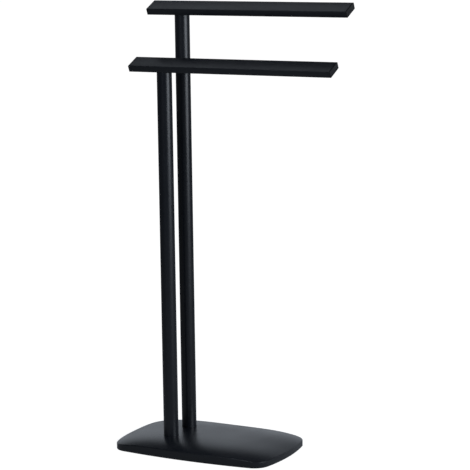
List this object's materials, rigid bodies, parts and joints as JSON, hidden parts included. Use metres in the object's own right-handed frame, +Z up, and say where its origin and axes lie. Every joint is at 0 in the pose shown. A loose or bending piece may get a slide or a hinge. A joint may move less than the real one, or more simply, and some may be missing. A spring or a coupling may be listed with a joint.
{
  "type": "freestanding towel stand",
  "caption": "Free-standing matt black towel stand: round posts of unequal height on a crowned, weighted base, each with a flat tilted arm reaching to one side.",
  "frame": {"origin": "middle of the base outline, on the floor under the mat", "axes": "+Z up; +X along the arms towards their long free ends; -Y is the front, where the lower arm is"},
  "size_m": [0.478, 0.226, 0.9007],
  "materials": {
    "satin_black": "matt black powder coat with a fine orange-peel texture",
    "black_plastic": "moulded, fine spark-eroded texture",
    "foam_rubber": "closed-cell foam sheet with a fine pebble",
    "zinc_sheet": "zinc-plated sheet",
    "zinc_steel": "bright zinc plating",
    "bare_steel": "turned steel, lightly oiled",
    "black_oxide_steel": "black oxide",
    "cast_iron": "as cast, primed"
  },
  "bodies": {
    "root": {"base_cover": "satin_black", "cover_lugs": "bare_steel", "ballast_plate": "cast_iron", "base_plate": "zinc_sheet", "base_plate_screws": "zinc_steel", "floor_mat": "foam_rubber", "front_post": "satin_black", "rear_post": "satin_black", "front_post_insert": "bare_steel", "rear_post_insert": "bare_steel", "front_post_sleeve": "bare_steel", "rear_post_sleeve": "bare_steel", "post_bolts": "zinc_steel", "post_spring_washers": "zinc_steel", "post_washers": "zinc_steel", "post_pins": "bare_steel", "front_arm": "satin_black", "rear_arm": "satin_black", "front_arm_spigot": "bare_steel", "rear_arm_spigot": "bare_steel", "front_arm_left_cap": "black_plastic", "front_arm_right_cap": "black_plastic", "rear_arm_left_cap": "black_plastic", "rear_arm_right_cap": "black_plastic", "arm_grub_screws": "black_oxide_steel"}
  },
  "joints": []
}
